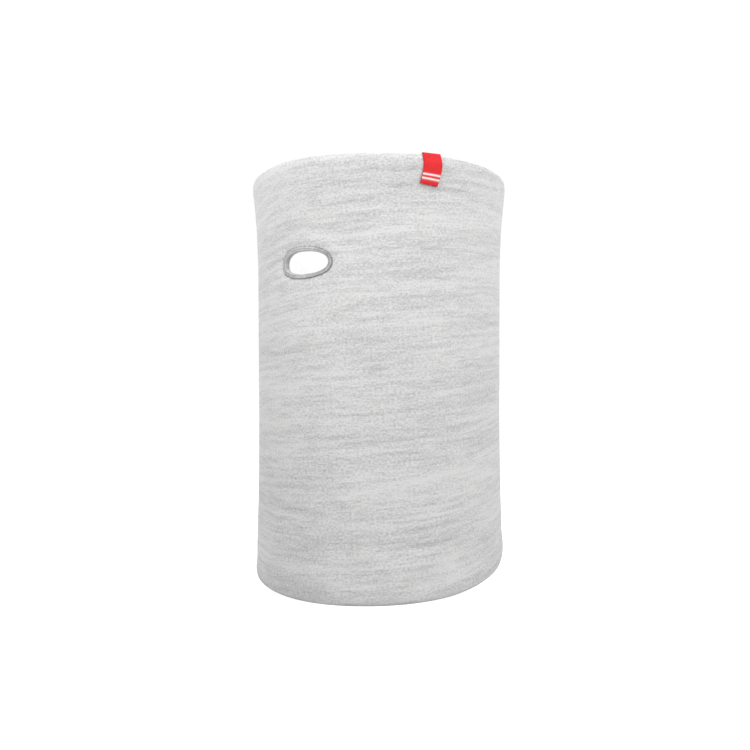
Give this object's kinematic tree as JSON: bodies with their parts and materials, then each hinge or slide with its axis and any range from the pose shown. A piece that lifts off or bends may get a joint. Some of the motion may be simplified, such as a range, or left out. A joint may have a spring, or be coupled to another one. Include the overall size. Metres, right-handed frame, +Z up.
{
  "type": "neck gaiter",
  "caption": "Two-layer knitted neck gaiter: an open oval tube with turned rims, a bound oval breathing hole at the front, a folded label on the top rim and a care label inside.",
  "frame": {"origin": "centre of the bottom rim's oval, in the plane the gaiter stands on", "axes": "+Z up along the tube towards the top rim, -Y out of the breathing hole (the wearer's face), +X towards the wearer's left"},
  "size_m": [0.1584, 0.1822, 0.2509],
  "materials": {
    "heather_knit": "light grey heather jersey, matt",
    "brushed_lining": "off-white brushed fleece, matt",
    "seam_thread": "light grey polyester thread",
    "binding_thread": "mid grey polyester thread, slight sheen",
    "red_weave": "red woven label, fine ribs",
    "white_satin": "white satin care label, blank"
  },
  "bodies": {
    "gaiter": {"outer_shell": "heather_knit", "inner_lining": "brushed_lining", "shell_back_seam": "seam_thread", "lining_back_seam": "seam_thread", "top_rim_overlock": "seam_thread", "bottom_rim_overlock": "seam_thread", "breathing_hole_binding": "binding_thread", "woven_label_tail": "red_weave", "care_label_strip": "white_satin", "care_label_stitch": "seam_thread"},
    "woven_label": {"woven_label_flap": "red_weave"},
    "care_label": {"care_label_leaf": "white_satin"}
  },
  "joints": [
    {"name": "woven_label_lift", "type": "hinge", "parent": "gaiter", "child": "woven_label", "pos_m": [0.06086, -0.05242, 0.2506], "axis": [-0.5449, -0.8385, 0], "range_deg": [0, 170]},
    {"name": "care_label_turn", "type": "hinge", "parent": "gaiter", "child": "care_label", "pos_m": [0.00763, 0.0823, 0.045], "axis": [0, 0, -1], "range_deg": [0, 150]}
  ]
}
